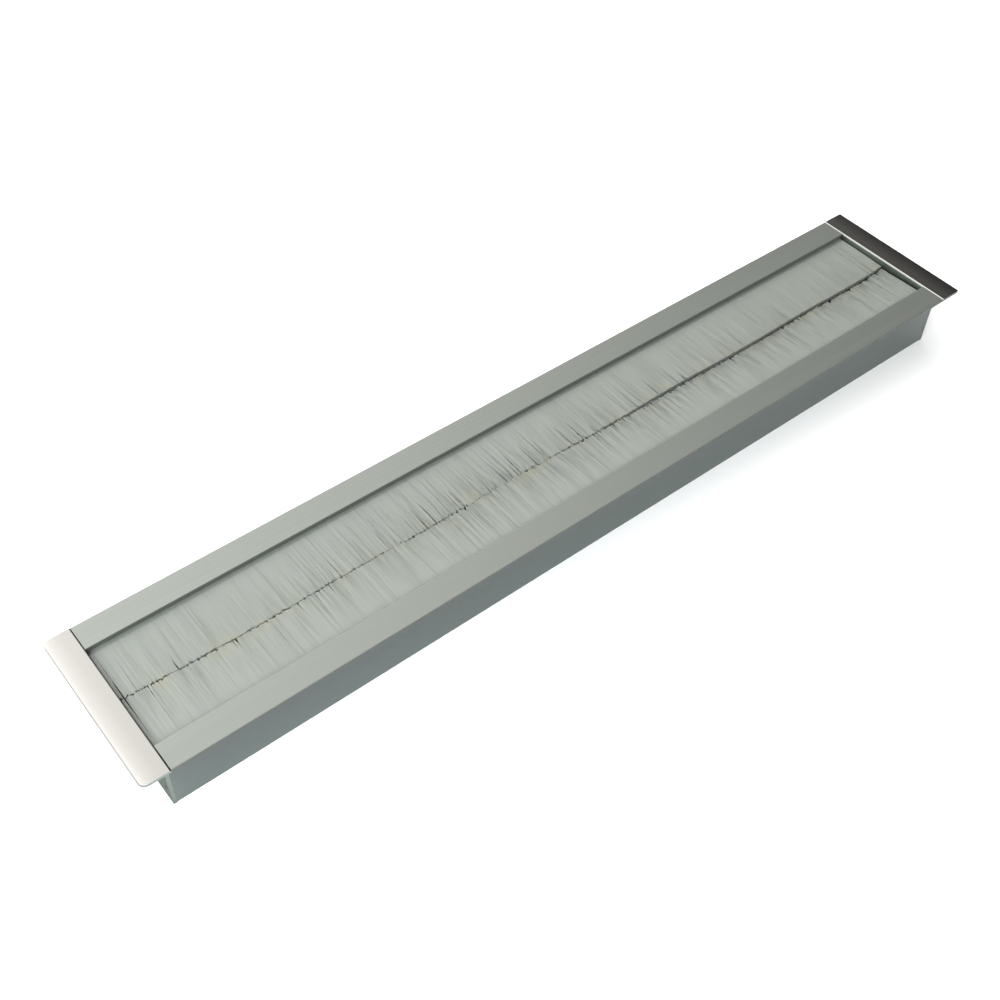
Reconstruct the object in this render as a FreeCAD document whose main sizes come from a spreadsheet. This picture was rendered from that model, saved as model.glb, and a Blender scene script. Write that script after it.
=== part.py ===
"""Brush cable grommet: a slot liner for a desk top, closed by two rows of bristles.

Two extruded aluminium rails lie along X and two folded steel caps close the ends.
Each rail holds a strip brush: a crimped sheet channel with filaments that are folded
round a core wire. The two rows of filaments meet at a ragged seam along the middle.

X runs along the rails, Y points from the front rail to the back rail, Z is up. The
origin is the middle of the underside, where the walls and the cap legs end. All sizes
are in millimetres.
"""
import FreeCAD, Part
import math
import os
import random

import Sketcher

SIZES = [
    ("grommet_width", 80.0, "across both flanges"),
    ("grommet_depth", 31.0, "from the foot of the walls to the flange tops"),
    ("rail_length", 439.4, "each rail, between the cap legs"),
    ("flange_width", 13.0, "flat top of a rail"),
    ("flange_thickness", 1.5, "flat top of a rail"),
    ("flange_edge_round", 0.3, "round on the two long top edges"),
    ("wall_setback", 5.2, "from the outer flange edge to the wall"),
    ("wall_thickness", 1.5, "upright wall of a rail"),
    ("foot_round", 0.4, "round on the outer lower edge of the wall"),
    ("slot_height", 5.0, "T-slot for the strip brush"),
    ("lip_width", 0.8, "lips that keep the strip brush in its slot"),
    ("lip_drop", 0.6, "how far a lip closes the slot mouth"),
    ("shelf_thickness", 1.2, "floor of the slot"),
    ("port_height", 8.0, "screw port, centre above the foot"),
    ("port_reach", 2.1, "screw port, centre to the inside of the wall"),
    ("port_bore", 3.2, "bore of the screw port"),
    ("port_wall", 1.1, "metal round the bore"),
    ("port_slit", 1.4, "open slit of the screw port"),
    ("channel_clearance", 0.1, "strip brush in its slot"),
    ("channel_sheet", 0.5, "sheet of the brush channel"),
    ("channel_mouth", 2.4, "crimped mouth of the channel"),
    ("crimp_length", 1.0, "lips of the channel that are bent inwards"),
    ("channel_end_gap", 0.2, "channel and core wire to the cap leg"),
    ("wire_diameter", 1.2, "core wire"),
    ("wire_clearance", 0.05, "core wire in the fold"),
    ("fold_clearance", 0.1, "filaments in the channel"),
    ("tip_thickness", 2.4, "row of filaments at the seam"),
    ("tip_droop", 1.0, "how far the tips hang below the roots"),
    ("tuft_pitch", 2.3, "one tuft of filaments"),
    ("tuft_gap", 0.35, "gap between two tufts at their tips"),
    ("tuft_split", 13.0, "longest split between two tufts"),
    ("tip_raggedness", 0.9, "how far a tip falls short of the longest"),
    ("seam_gap", 0.6, "least gap between the two rows"),
    ("seam_offset", 1.6, "seam in front of the centre line"),
    ("seam_drift", 0.6, "how far the seam moves forward at the right end"),
    ("seam_wave", 0.3, "height of the wave in the seam"),
    ("seam_wave_length", 92.0, "length of that wave"),
    ("seam_end_rise", 2.6, "how far the seam turns back at the caps"),
    ("brush_end_gap", 0.3, "filaments to the cap leg"),
    ("brush_short", 0.9, "front row is cut this much shorter at the right end"),
    ("cap_reach", 12.3, "top plate of a cap, beyond the rail"),
    ("cap_sheet", 1.5, "folded sheet of a cap"),
    ("cap_bend", 0.2, "inner radius of the sharply pressed fold"),
    ("cap_fold_round", 0.9, "outer radius of that fold"),
    ("left_corner_round", 3.2, "outer corners of the left cap"),
    ("right_corner_round", 0.4, "outer corners of the right cap"),
    ("screw_clearance", 0.1, "screw in its port, all round"),
    ("leg_hole_clearance", 0.3, "shank in the cap leg, all round"),
    ("leg_hole_land", 0.3, "straight part of that hole, under its countersink"),
    ("screw_length", 12.0, "with its countersunk head"),
    ("screw_point", 2.0, "tapered end of the screw"),
    ("head_clearance", 0.15, "head in its countersink, all round"),
    ("head_rim", 0.2, "straight rim of the countersunk head"),
    ("recess_width", 0.7, "one bar of the cross recess"),
    ("recess_span", 2.6, "cross recess from end to end"),
    ("recess_depth", 1.0, "cross recess"),
]

FRONT = 1
BACK = -1
RIGHT = 1
LEFT = -1
UPRIGHT = FreeCAD.Vector(0, 0, 1)
HALF_TURN = 180
QUARTER_TURN = 90
NEAR = 1e-4

document = FreeCAD.newDocument("BrushCableGrommet")
sheet = document.addObject("Spreadsheet::Sheet", "Sizes")


def fill_sheet():
    """Write each driving size on its own row: its name, its value and what it measures."""
    for row, (name, value, meaning) in enumerate(SIZES, start=1):
        sheet.set("A%d" % row, name)
        sheet.set("B%d" % row, str(value))
        sheet.setAlias("B%d" % row, name)
        sheet.set("C%d" % row, meaning)
    document.recompute()


def value_of(expression):
    """Number that an expression of sheet sizes gives."""
    return float(sheet.evalExpression(expression))


# Derived places, written once as expressions of the sheet's sizes.
HALF_RAIL = "(Sizes.rail_length / 2)"
HALF_WIDTH = "(Sizes.grommet_width / 2)"
WALL_INSIDE = "(Sizes.wall_setback + Sizes.wall_thickness)"
LEG_HALF_WIDTH = "(%s - Sizes.wall_setback)" % HALF_WIDTH
SLOT_TOP = "(Sizes.grommet_depth - Sizes.flange_thickness)"
SLOT_FLOOR = "(%s - Sizes.slot_height)" % SLOT_TOP
SLOT_MIDDLE = "(%s - Sizes.slot_height / 2)" % SLOT_TOP
LIP_INSIDE = "(Sizes.flange_width - Sizes.lip_width)"
CHANNEL_DEPTH = "(%s - %s - 2 * Sizes.channel_clearance)" % (LIP_INSIDE, WALL_INSIDE)
CHANNEL_HEIGHT = "(Sizes.slot_height - 2 * Sizes.channel_clearance)"
CHANNEL_BACK = "(%s - %s - Sizes.channel_clearance)" % (HALF_WIDTH, WALL_INSIDE)
CRIMP_RISE = "((%s - Sizes.channel_mouth) / 2 - Sizes.channel_sheet)" % CHANNEL_HEIGHT
FOLD_RADIUS = "(%s / 2 - Sizes.channel_sheet - Sizes.fold_clearance)" % CHANNEL_HEIGHT
WIRE_IN_CHANNEL = "(Sizes.channel_sheet + Sizes.fold_clearance + %s)" % FOLD_RADIUS
WIRE_ACROSS = "(%s - %s)" % (CHANNEL_BACK, WIRE_IN_CHANNEL)
CHANNEL_LENGTH = "(Sizes.rail_length - 2 * Sizes.channel_end_gap)"
PORT_ACROSS = "(%s + Sizes.port_reach)" % WALL_INSIDE
SHANK_RADIUS = "(Sizes.port_bore / 2 - Sizes.screw_clearance)"
LEG_HOLE_RADIUS = "(%s + Sizes.leg_hole_clearance)" % SHANK_RADIUS
COUNTERSINK = "(Sizes.cap_sheet - Sizes.leg_hole_land)"
HEAD_INSET = "(Sizes.head_rim + Sizes.head_clearance)"
HEAD_RADIUS = "(%s + %s - %s)" % (LEG_HOLE_RADIUS, COUNTERSINK, HEAD_INSET)


def origin_plane(body, role):
    """Plane of a body's own origin."""
    return next(item for item in body.Origin.OriginFeatures if item.Role == role)


def new_body(name):
    body = document.addObject("PartDesign::Body", name)
    body.Label = name
    return body


def new_sketch(body, name, role):
    sketch = body.newObject("Sketcher::SketchObject", name)
    sketch.AttachmentSupport = [(origin_plane(body, role), "")]
    sketch.MapMode = "FlatFace"
    return sketch


def pin_point(sketch, geometry, end, place):
    """Hold one point of a sketch at a place that is given by two expressions."""
    for kind, expression in zip(("DistanceX", "DistanceY"), place):
        number = sketch.addConstraint(
            Sketcher.Constraint(kind, -1, 1, geometry, end, value_of(expression)))
        sketch.setExpression("Constraints[%d]" % number, expression)


def draw_outline(sketch, corners):
    """Closed outline of straight lines through corners that follow the sheet."""
    points = [FreeCAD.Vector(value_of(across), value_of(up), 0) for across, up in corners]
    first = sketch.GeometryCount
    last = first + len(points) - 1
    for number, point in enumerate(points):
        following = points[(number + 1) % len(points)]
        sketch.addGeometry(Part.LineSegment(point, following), False)
    for number, place in enumerate(corners):
        line = first + number
        following = first if line == last else line + 1
        sketch.addConstraint(Sketcher.Constraint("Coincident", line, 2, following, 1))
        pin_point(sketch, line, 1, place)


def draw_circle(sketch, centre, diameter):
    """Circle whose centre and diameter follow the sheet."""
    middle = FreeCAD.Vector(value_of(centre[0]), value_of(centre[1]), 0)
    ring = sketch.addGeometry(Part.Circle(middle, UPRIGHT, value_of(diameter) / 2), False)
    pin_point(sketch, ring, 3, centre)
    number = sketch.addConstraint(
        Sketcher.Constraint("Diameter", ring, value_of(diameter)))
    sketch.setExpression("Constraints[%d]" % number, diameter)


def pad(body, name, sketch, length):
    """Solid as long as an expression says, half of it on each side of its sketch."""
    feature = body.newObject("PartDesign::Pad", name)
    feature.Profile = sketch
    feature.Midplane = True
    feature.setExpression("Length", length)
    return feature


def cut_through(body, name, sketch):
    """Pocket right through the body, both ways from its sketch."""
    feature = body.newObject("PartDesign::Pocket", name)
    feature.Profile = sketch
    feature.Type = "ThroughAll"
    feature.Midplane = True
    document.recompute()
    before = feature.BaseFeature.Shape.Volume
    if feature.Shape.Volume >= before:
        raise RuntimeError("%s removes nothing" % name)
    return feature


def edges_where(feature, is_wanted):
    """Names of the feature's edges whose ends and middle all pass the test."""
    names = []
    for number, edge in enumerate(feature.Shape.Edges, start=1):
        points = [vertex.Point for vertex in edge.Vertexes]
        points.append(edge.valueAt((edge.FirstParameter + edge.LastParameter) / 2))
        if all(is_wanted(point) for point in points):
            names.append("Edge%d" % number)
    return names


def ease_edges(body, name, kind, feature, is_wanted, amount):
    """Fillet or chamfer of one size on every edge that passes the test."""
    document.recompute()
    eased = body.newObject("PartDesign::" + kind, name)
    eased.Base = (feature, edges_where(feature, is_wanted))
    eased.setExpression("Radius" if kind == "Fillet" else "Size", amount)
    return eased


def place_at(item, turn, along, across, up):
    """Turn an item about Z and bind its place to expressions."""
    item.Placement = FreeCAD.Placement(FreeCAD.Vector(), turn)
    item.setExpression("Placement.Base.x", along)
    item.setExpression("Placement.Base.y", across)
    item.setExpression("Placement.Base.z", up)


def about_z(side):
    """No turn for the front or right piece, half a turn for the back or left one."""
    angle = 0 if side > 0 else HALF_TURN
    return FreeCAD.Rotation(UPRIGHT, angle)


def make_rail(name, side):
    """Extruded rail: flange, wall, slot for the strip brush and two screw port ends.

    The section is drawn from the outer flange edge inwards, and up from the foot.
    """
    body = new_body(name)
    section = new_sketch(body, name + "_section", "YZ_Plane")
    slot_mouth_top = "(%s - Sizes.lip_drop)" % SLOT_TOP
    slot_mouth_floor = "(%s + Sizes.lip_drop)" % SLOT_FLOOR
    shelf_underside = "(%s - Sizes.shelf_thickness)" % SLOT_FLOOR
    draw_outline(section, [
        ("0", "Sizes.grommet_depth"),
        ("Sizes.flange_width", "Sizes.grommet_depth"),
        ("Sizes.flange_width", slot_mouth_top),
        (LIP_INSIDE, slot_mouth_top),
        (LIP_INSIDE, SLOT_TOP),
        (WALL_INSIDE, SLOT_TOP),
        (WALL_INSIDE, SLOT_FLOOR),
        (LIP_INSIDE, SLOT_FLOOR),
        (LIP_INSIDE, slot_mouth_floor),
        ("Sizes.flange_width", slot_mouth_floor),
        ("Sizes.flange_width", shelf_underside),
        (WALL_INSIDE, shelf_underside),
        (WALL_INSIDE, "0"),
        ("Sizes.wall_setback", "0"),
        ("Sizes.wall_setback", SLOT_TOP),
        ("0", SLOT_TOP),
    ])
    profile = pad(body, name + "_profile", section, "Sizes.rail_length")

    def on_long_top_edge(point):
        at_side = min(abs(point.y), abs(point.y - value_of("Sizes.flange_width")))
        return at_side < NEAR and abs(point.z - value_of("Sizes.grommet_depth")) < NEAR

    def on_outer_foot(point):
        off_wall = abs(point.y - value_of("Sizes.wall_setback"))
        return off_wall < NEAR and abs(point.z) < NEAR

    rounded = ease_edges(body, name + "_edge_rounds", "Fillet", profile, on_long_top_edge,
                         "Sizes.flange_edge_round")
    ease_edges(body, name + "_foot_round", "Fillet", rounded, on_outer_foot,
               "Sizes.foot_round")

    centre = (PORT_ACROSS, "Sizes.port_height")
    ring = new_sketch(body, name + "_port_ring", "YZ_Plane")
    draw_circle(ring, centre, "(Sizes.port_bore + 2 * Sizes.port_wall)")
    pad(body, name + "_port", ring, "Sizes.rail_length")
    bore = new_sketch(body, name + "_port_circle", "YZ_Plane")
    draw_circle(bore, centre, "Sizes.port_bore")
    cut_through(body, name + "_port_bore", bore)
    slit = new_sketch(body, name + "_port_slit_outline", "YZ_Plane")
    slit_end = "(%s + Sizes.port_bore / 2 + 2 * Sizes.port_wall)" % PORT_ACROSS
    slit_low = "(Sizes.port_height - Sizes.port_slit / 2)"
    slit_high = "(Sizes.port_height + Sizes.port_slit / 2)"
    draw_outline(slit, [
        (PORT_ACROSS, slit_low),
        (slit_end, slit_low),
        (slit_end, slit_high),
        (PORT_ACROSS, slit_high),
    ])
    cut_through(body, name + "_port_slit", slit)
    place_at(body, about_z(side), "0", "%d * %s" % (-side, HALF_WIDTH), "0")
    return body


def make_end_cap(name, side, corner_round):
    """Folded sheet: a top plate that lies on the desk and a leg that closes the rails.

    The cap is drawn as the right one, outwards from the rail ends.
    """
    body = new_body(name)
    section = new_sketch(body, name + "_section", "XZ_Plane")
    plate_underside = "(Sizes.grommet_depth - Sizes.cap_sheet)"
    draw_outline(section, [
        ("0", "0"),
        ("Sizes.cap_sheet", "0"),
        ("Sizes.cap_sheet", plate_underside),
        ("Sizes.cap_reach", plate_underside),
        ("Sizes.cap_reach", "Sizes.grommet_depth"),
        ("0", "Sizes.grommet_depth"),
    ])
    folded = pad(body, name + "_sheet", section, "Sizes.grommet_width")

    def on_outer_fold(point):
        return abs(point.x) < NEAR and abs(point.z - value_of("Sizes.grommet_depth")) < NEAR

    def on_inner_fold(point):
        off_leg = abs(point.x - value_of("Sizes.cap_sheet"))
        return off_leg < NEAR and abs(point.z - value_of(plate_underside)) < NEAR

    def on_plate_corner(point):
        off_side = abs(abs(point.y) - value_of(HALF_WIDTH))
        return off_side < NEAR and abs(point.x - value_of("Sizes.cap_reach")) < NEAR

    outer = ease_edges(body, name + "_outer_fold", "Fillet", folded, on_outer_fold,
                       "Sizes.cap_fold_round")
    inner = ease_edges(body, name + "_inner_fold", "Fillet", outer, on_inner_fold,
                       "Sizes.cap_bend")
    ease_edges(body, name + "_corners", "Fillet", inner, on_plate_corner, corner_round)

    sides = new_sketch(body, name + "_side_outlines", "YZ_Plane")
    for hand in (LEFT, RIGHT):
        edge = "%d * %s" % (hand, LEG_HALF_WIDTH)
        outside = "%d * (%s + Sizes.flange_width)" % (hand, HALF_WIDTH)
        below = "-Sizes.flange_thickness"
        draw_outline(sides, [
            (edge, below),
            (outside, below),
            (outside, plate_underside),
            (edge, plate_underside),
        ])
    cut_through(body, name + "_leg_sides", sides)

    holes = new_sketch(body, name + "_hole_circles", "YZ_Plane")
    port = "(%s - %s)" % (HALF_WIDTH, PORT_ACROSS)
    for hand in (LEFT, RIGHT):
        centre = ("%d * %s" % (hand, port), "Sizes.port_height")
        draw_circle(holes, centre, "2 * " + LEG_HOLE_RADIUS)
    drilled = cut_through(body, name + "_holes", holes)

    def on_hole_rim(point):
        off_middle = math.hypot(abs(point.y) - value_of(port),
                                point.z - value_of("Sizes.port_height"))
        off_rim = abs(off_middle - value_of(LEG_HOLE_RADIUS))
        return off_rim < NEAR and abs(point.x - value_of("Sizes.cap_sheet")) < NEAR

    ease_edges(body, name + "_countersinks", "Chamfer", drilled, on_hole_rim, COUNTERSINK)
    place_at(body, about_z(side), "%d * %s" % (side, HALF_RAIL), "0", "0")
    return body


def make_channel(name, side):
    """Sheet channel of a strip brush, its mouth crimped on the folded filaments.

    The section is drawn from the back of the channel towards its mouth.
    """
    body = new_body(name)
    section = new_sketch(body, name + "_section", "YZ_Plane")
    straight = "(%s - Sizes.crimp_length)" % CHANNEL_DEPTH
    bent_inside = "(%s + Sizes.channel_sheet)" % CRIMP_RISE
    lower = [
        ("0", "0"),
        (straight, "0"),
        (CHANNEL_DEPTH, CRIMP_RISE),
        (CHANNEL_DEPTH, bent_inside),
        (straight, "Sizes.channel_sheet"),
        ("Sizes.channel_sheet", "Sizes.channel_sheet"),
    ]
    upper = [(across, "%s - %s" % (CHANNEL_HEIGHT, up)) for across, up in reversed(lower)]
    draw_outline(section, lower + upper)
    pad(body, name + "_sheet", section, CHANNEL_LENGTH)
    place_at(body, about_z(side), "0", "%d * %s" % (-side, CHANNEL_BACK),
             SLOT_FLOOR + " + Sizes.channel_clearance")
    return body


def make_core_wire(name, side):
    """Round wire that the filaments are folded over."""
    wire = document.addObject("Part::Cylinder", name)
    wire.Label = name
    wire.setExpression("Radius", "Sizes.wire_diameter / 2")
    wire.setExpression("Height", CHANNEL_LENGTH)
    along_x = FreeCAD.Rotation(FreeCAD.Vector(0, 1, 0), QUARTER_TURN)
    place_at(wire, along_x, "-%s / 2" % CHANNEL_LENGTH, "%d * %s" % (-side, WIRE_ACROSS),
             SLOT_MIDDLE)
    return wire


def make_fold(name, side):
    """Row of filaments as one bar: folded round the wire, nipped by the channel mouth.

    The section is drawn from the core wire towards the seam, which it overshoots.
    """
    body = new_body(name)
    section = new_sketch(body, name + "_section", "YZ_Plane")
    mouth = "(%s - %s)" % (CHANNEL_DEPTH, WIRE_IN_CHANNEL)
    crimp = "(%s - Sizes.crimp_length)" % mouth
    nip = "(Sizes.channel_mouth / 2 - Sizes.fold_clearance)"
    past_seam = "(%s + Sizes.flange_width)" % WIRE_ACROSS
    tip_top = "(Sizes.tip_thickness / 2 - Sizes.tip_droop)"
    tip_bottom = "(-Sizes.tip_thickness / 2 - Sizes.tip_droop)"
    draw_outline(section, [
        ("0", FOLD_RADIUS),
        (crimp, FOLD_RADIUS),
        (mouth, nip),
        (past_seam, tip_top),
        (past_seam, tip_bottom),
        (mouth, "-" + nip),
        (crimp, "-" + FOLD_RADIUS),
        ("0", "-" + FOLD_RADIUS),
    ])
    length = "Sizes.rail_length - 2 * Sizes.brush_end_gap"
    pad(body, name + "_bar", section, length)
    loop = new_sketch(body, name + "_loop_circle", "YZ_Plane")
    draw_circle(loop, ("0", "0"), "2 * " + FOLD_RADIUS)
    pad(body, name + "_loop", loop, length)
    bore = new_sketch(body, name + "_bore_circle", "YZ_Plane")
    draw_circle(bore, ("0", "0"), "Sizes.wire_diameter + 2 * Sizes.wire_clearance")
    cut_through(body, name + "_bore", bore)
    place_at(body, about_z(side), "0", "%d * %s" % (-side, WIRE_ACROSS), SLOT_MIDDLE)
    return body


def seam_line(along):
    """Where the two rows of filaments meet: a shallow wave that turns back at the caps."""
    share = along / value_of(HALF_RAIL)
    wave = math.sin(2 * math.pi * along / value_of("Sizes.seam_wave_length"))
    return (value_of("Sizes.seam_end_rise") * share ** 14
            - value_of("Sizes.seam_offset")
            - value_of("Sizes.seam_drift") * share
            - value_of("Sizes.seam_wave") * wave)


def comb_outline(side, seed):
    """Plan of a row of filaments, its free edge split into tufts of uneven length.

    Each tuft has two corners at its tip, and a split of uneven depth parts it from the
    next one. The corners run from the left end to the right end.
    """
    dice = random.Random(seed)
    start = -value_of(HALF_RAIL)
    short = value_of("Sizes.brush_short") if side == FRONT else 0
    end = value_of(HALF_RAIL) - short
    count = int((end - start) / value_of("Sizes.tuft_pitch"))
    pitch = (end - start) / count
    half_gap = value_of("Sizes.tuft_gap") / 2
    outside = -side * value_of(HALF_WIDTH)
    corners = [FreeCAD.Vector(start, outside, 0)]
    for number in range(count):
        left = start + number * pitch
        right = left + pitch
        for corner in (left + half_gap, right - half_gap):
            shortfall = value_of("Sizes.seam_gap") / 2
            shortfall += value_of("Sizes.tip_raggedness") * dice.random()
            corners.append(FreeCAD.Vector(corner, seam_line(corner) - side * shortfall, 0))
        if number < count - 1:
            depth = value_of("Sizes.tuft_split") * dice.uniform(0.4, 1)
            corners.append(FreeCAD.Vector(right, seam_line(right) - side * depth, 0))
    corners.append(FreeCAD.Vector(end, outside, 0))
    return corners


def make_bristles(name, side, seed):
    """Row of filaments: the folded bar, trimmed to the comb of ragged tufts.

    The comb has hundreds of corners that come from a rule, so its outline is made in
    code. The bar and the trim are ordinary features.
    """
    corners = comb_outline(side, seed)
    outline = document.addObject("Part::Feature", name + "_outline")
    outline.Shape = Part.Face(Part.makePolygon(corners + corners[:1]))
    outline.Placement = FreeCAD.Placement(FreeCAD.Vector(), FreeCAD.Rotation())
    comb = document.addObject("Part::Extrusion", name + "_comb")
    comb.Base = outline
    comb.DirMode = "Custom"
    comb.Dir = UPRIGHT
    comb.Solid = True
    comb.setExpression("LengthFwd", "Sizes.grommet_depth")
    bristles = document.addObject("Part::Common", name)
    bristles.Label = name
    bristles.Base = make_fold(name + "_fold", side)
    bristles.Tool = comb
    return bristles


def make_screw(name, end, side):
    """Countersunk self-tapping screw with a cross recess, flush in a cap leg.

    The screw is drawn upright, with the flat top of its head at the height of zero.
    """
    body = new_body(name)
    half = new_sketch(body, name + "_half_section", "XZ_Plane")
    draw_outline(half, [
        ("0", "0"),
        (HEAD_RADIUS, "0"),
        (HEAD_RADIUS, "-Sizes.head_rim"),
        (SHANK_RADIUS, "%s - %s - Sizes.head_rim" % (SHANK_RADIUS, HEAD_RADIUS)),
        (SHANK_RADIUS, "Sizes.screw_point - Sizes.screw_length"),
        (SHANK_RADIUS + " / 3", "-Sizes.screw_length"),
        ("0", "-Sizes.screw_length"),
    ])
    turned = body.newObject("PartDesign::Revolution", name + "_turned")
    turned.Profile = half
    turned.ReferenceAxis = (half, ["V_Axis"])

    document.recompute()
    cross = new_sketch(body, name + "_cross", "XY_Plane")
    arm = "Sizes.recess_span / 2"
    bar = "Sizes.recess_width / 2"
    quarter = [(arm, "-" + bar), (arm, bar), (bar, bar)]
    corners = []
    for number in range(4):
        corners += quarter
        quarter = [("-(%s)" % up, across) for across, up in quarter]
    draw_outline(cross, corners)
    recess = body.newObject("PartDesign::Pocket", name + "_recess")
    recess.Profile = cross
    recess.setExpression("Length", "Sizes.recess_depth")
    document.recompute()
    if recess.Shape.Volume >= recess.BaseFeature.Shape.Volume:
        raise RuntimeError("%s has no recess" % name)
    outwards = FreeCAD.Rotation(FreeCAD.Vector(0, 1, 0), end * QUARTER_TURN)
    place_at(body, outwards,
             "%d * (%s + Sizes.cap_sheet)" % (end, HALF_RAIL),
             "%d * (%s - %s)" % (-side, HALF_WIDTH, PORT_ACROSS),
             "Sizes.port_height")
    return body


def make_end_cap_screws(name):
    """The four cap screws, as one group of separate solids."""
    screws = []
    for end in (LEFT, RIGHT):
        for side in (FRONT, BACK):
            screws.append(make_screw("%s_%d" % (name, len(screws) + 1), end, side))
    group = document.addObject("Part::Compound", name)
    group.Label = name
    group.Links = screws
    return group


def check_features():
    """Stop if any object of the document failed."""
    for item in document.Objects:
        if "Invalid" in item.State or "Error" in item.State:
            raise RuntimeError("%s is %s" % (item.Name, item.State))


def export_parts(parts):
    """Check each sub-part's solid and write it to a STEP file of its own."""
    for part in parts:
        if part.Shape.isNull() or not part.Shape.isValid():
            raise RuntimeError("%s has no sound shape" % part.Label)
    os.makedirs("parts", exist_ok=True)
    for part in parts:
        part.Shape.exportStep(os.path.join("parts", part.Label + ".step"))


def main():
    fill_sheet()
    parts = [
        make_rail("rail_front", FRONT),
        make_rail("rail_back", BACK),
        make_end_cap("end_cap_left", LEFT, "Sizes.left_corner_round"),
        make_end_cap("end_cap_right", RIGHT, "Sizes.right_corner_round"),
        make_channel("brush_channel_front", FRONT),
        make_channel("brush_channel_back", BACK),
        make_core_wire("core_wire_front", FRONT),
        make_core_wire("core_wire_back", BACK),
        make_bristles("bristles_front", FRONT, 11),
        make_bristles("bristles_back", BACK, 23),
        make_end_cap_screws("end_cap_screws"),
    ]
    document.recompute()
    check_features()
    export_parts(parts)


main()
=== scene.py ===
import math

import bpy
import numpy as np
from bpy.props import FloatProperty, FloatVectorProperty, IntProperty, PointerProperty
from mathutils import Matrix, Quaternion, Vector


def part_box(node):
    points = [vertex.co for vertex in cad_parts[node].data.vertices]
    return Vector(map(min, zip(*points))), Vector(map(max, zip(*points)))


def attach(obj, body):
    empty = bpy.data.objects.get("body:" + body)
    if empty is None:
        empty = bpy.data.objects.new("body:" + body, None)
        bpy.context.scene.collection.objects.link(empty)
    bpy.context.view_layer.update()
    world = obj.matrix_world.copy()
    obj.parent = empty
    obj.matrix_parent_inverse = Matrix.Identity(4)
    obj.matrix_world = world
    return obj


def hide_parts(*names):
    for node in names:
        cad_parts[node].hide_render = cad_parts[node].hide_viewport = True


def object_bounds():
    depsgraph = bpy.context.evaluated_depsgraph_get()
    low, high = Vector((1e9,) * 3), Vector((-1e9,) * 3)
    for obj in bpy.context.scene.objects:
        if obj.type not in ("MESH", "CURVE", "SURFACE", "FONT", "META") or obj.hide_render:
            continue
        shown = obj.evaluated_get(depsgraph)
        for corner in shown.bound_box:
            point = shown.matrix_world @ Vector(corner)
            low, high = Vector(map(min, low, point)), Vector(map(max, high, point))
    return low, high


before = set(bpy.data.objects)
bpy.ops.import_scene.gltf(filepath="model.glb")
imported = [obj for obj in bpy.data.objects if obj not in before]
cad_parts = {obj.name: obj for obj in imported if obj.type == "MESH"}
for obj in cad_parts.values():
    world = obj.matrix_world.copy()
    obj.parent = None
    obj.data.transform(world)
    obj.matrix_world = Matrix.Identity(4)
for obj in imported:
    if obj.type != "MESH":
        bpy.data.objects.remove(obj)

bl_info = {
    "name": "Brush Cable Grommet",
    "version": (1, 0, 0),
    "blender": (4, 5, 0),
    "location": "View3D > Sidebar > Grommet",
    "description": "Finishes, bristles and studio for a desk grommet with two rows of bristles",
    "category": "Object",
}

MM = 0.001
CAD_BOX = [list(corner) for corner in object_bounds()]
HALF_LENGTH = CAD_BOX[1][0]
DEPTH = CAD_BOX[1][2]
BODY = "root"

# The side of a row: its filaments reach towards +Y from the front rail and -Y from the back.
ROWS = {"front": 1, "back": -1}

# Half of the thickness of a row, which is also the radius of its fold round the wire.
HALF_ROW = 1.05 * MM

# Nearly all values of a noise lie between these two.
NOISE_LOW = 0.3
NOISE_HIGH = 0.7

# Seeds of the random draws, so that each run lays the same filaments.
ROW_SEED = 40
FILAMENT_SEED = 60


def linear(hex_colour):
    """Linear colour of an sRGB hex value such as 8A8F8C."""
    channels = [int(hex_colour[start:start + 2], 16) / 255 for start in (0, 2, 4)]
    return tuple(c / 12.92 if c <= 0.04045 else ((c + 0.055) / 1.055) ** 2.4 for c in channels)


def add_node(tree, kind, inputs=None, **settings):
    """Add a node; each input is a plain value or the output socket that feeds it."""
    node = tree.nodes.new(kind)
    for name, value in settings.items():
        setattr(node, name, value)
    for name, value in (inputs or {}).items():
        if isinstance(value, bpy.types.NodeSocket):
            tree.links.new(value, node.inputs[name])
        else:
            node.inputs[name].default_value = value
    return node


def new_finish(name, colour, metallic, roughness):
    """Material with one shader whose plain values stay on its own sockets."""
    finish = bpy.data.materials.new(name)
    finish.use_nodes = True
    tree = finish.node_tree
    tree.nodes.clear()
    shader = add_node(tree, "ShaderNodeBsdfPrincipled", {
        "Base Color": (*colour, 1), "Metallic": metallic, "Roughness": roughness})
    add_node(tree, "ShaderNodeOutputMaterial", {"Surface": shader.outputs["BSDF"]})
    return finish, tree, shader


def streaks(tree, along, across, upwards, detail):
    """Noise whose cells have the given real sizes in metres along X, Y and Z."""
    place = add_node(tree, "ShaderNodeTexCoord")
    cells = add_node(tree, "ShaderNodeMapping", {
        "Vector": place.outputs["Object"], "Scale": (1 / along, 1 / across, 1 / upwards)})
    return add_node(tree, "ShaderNodeTexNoise", {
        "Vector": cells.outputs["Vector"], "Scale": 1.0, "Detail": detail})


def place_on_piece(tree):
    """X, Y and Z of the point on the piece, in metres."""
    place = add_node(tree, "ShaderNodeTexCoord")
    return add_node(tree, "ShaderNodeSeparateXYZ", {"Vector": place.outputs["Object"]})


def upward_share(tree, low, high):
    """Share from 0 to 1 of how far a face looks up, between two heights of its normal."""
    face = add_node(tree, "ShaderNodeNewGeometry")
    axes = add_node(tree, "ShaderNodeSeparateXYZ", {"Vector": face.outputs["Normal"]})
    return add_node(tree, "ShaderNodeMapRange", {
        "Value": axes.outputs["Z"], "From Min": low, "From Max": high})


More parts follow.
